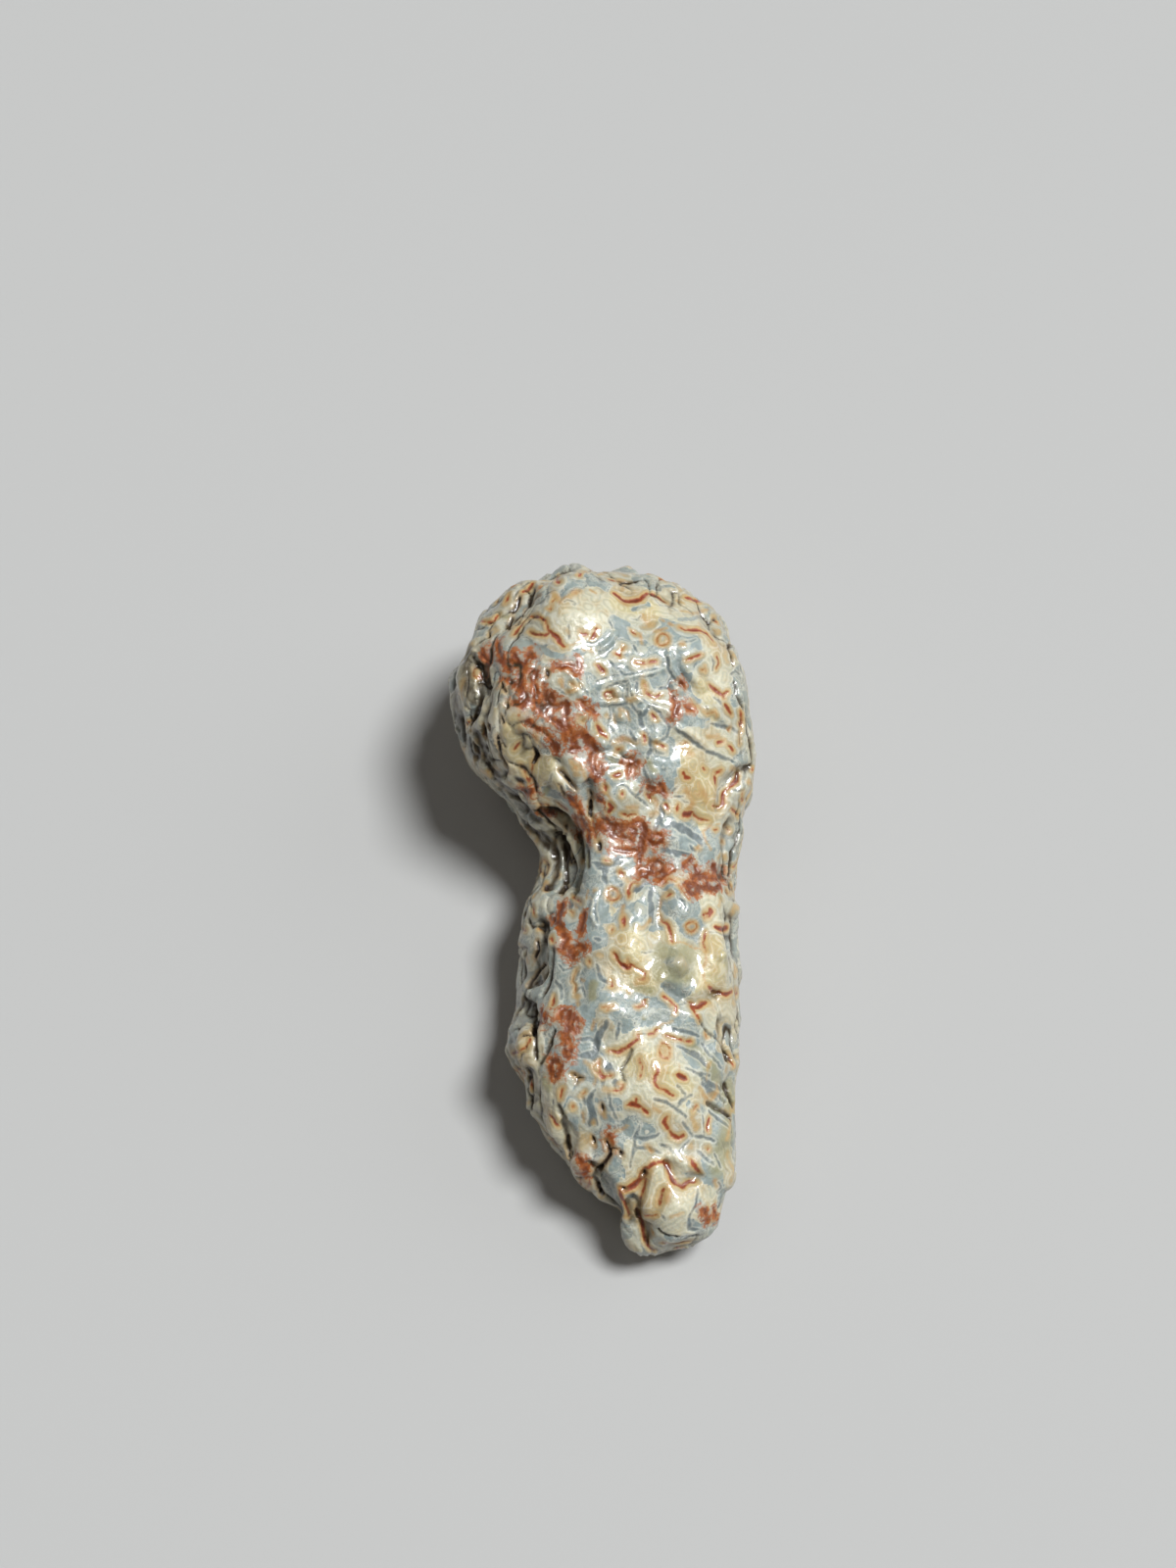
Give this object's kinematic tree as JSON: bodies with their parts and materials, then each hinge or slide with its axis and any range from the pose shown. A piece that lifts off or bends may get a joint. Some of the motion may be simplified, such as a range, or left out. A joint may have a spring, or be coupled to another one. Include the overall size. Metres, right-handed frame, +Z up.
{
  "type": "gobi agate stone",
  "caption": "Small wind-polished agate pebble with a bulbous head, a folded waist and a tapering foot, lying on its worn back.",
  "frame": {"origin": "centre of the stone's bounding box, in the plane of the flat it lies on", "axes": "+Y along the stone from its foot to its head, +Z up from the flat to the patterned face, +X to the right of that face with the head at the top"},
  "size_m": [0.0154, 0.0348, 0.0124],
  "materials": {
    "agate": "waxy, wind-polished chalcedony with a wet shine"
  },
  "bodies": {
    "root": {"stone": "agate"}
  },
  "joints": []
}
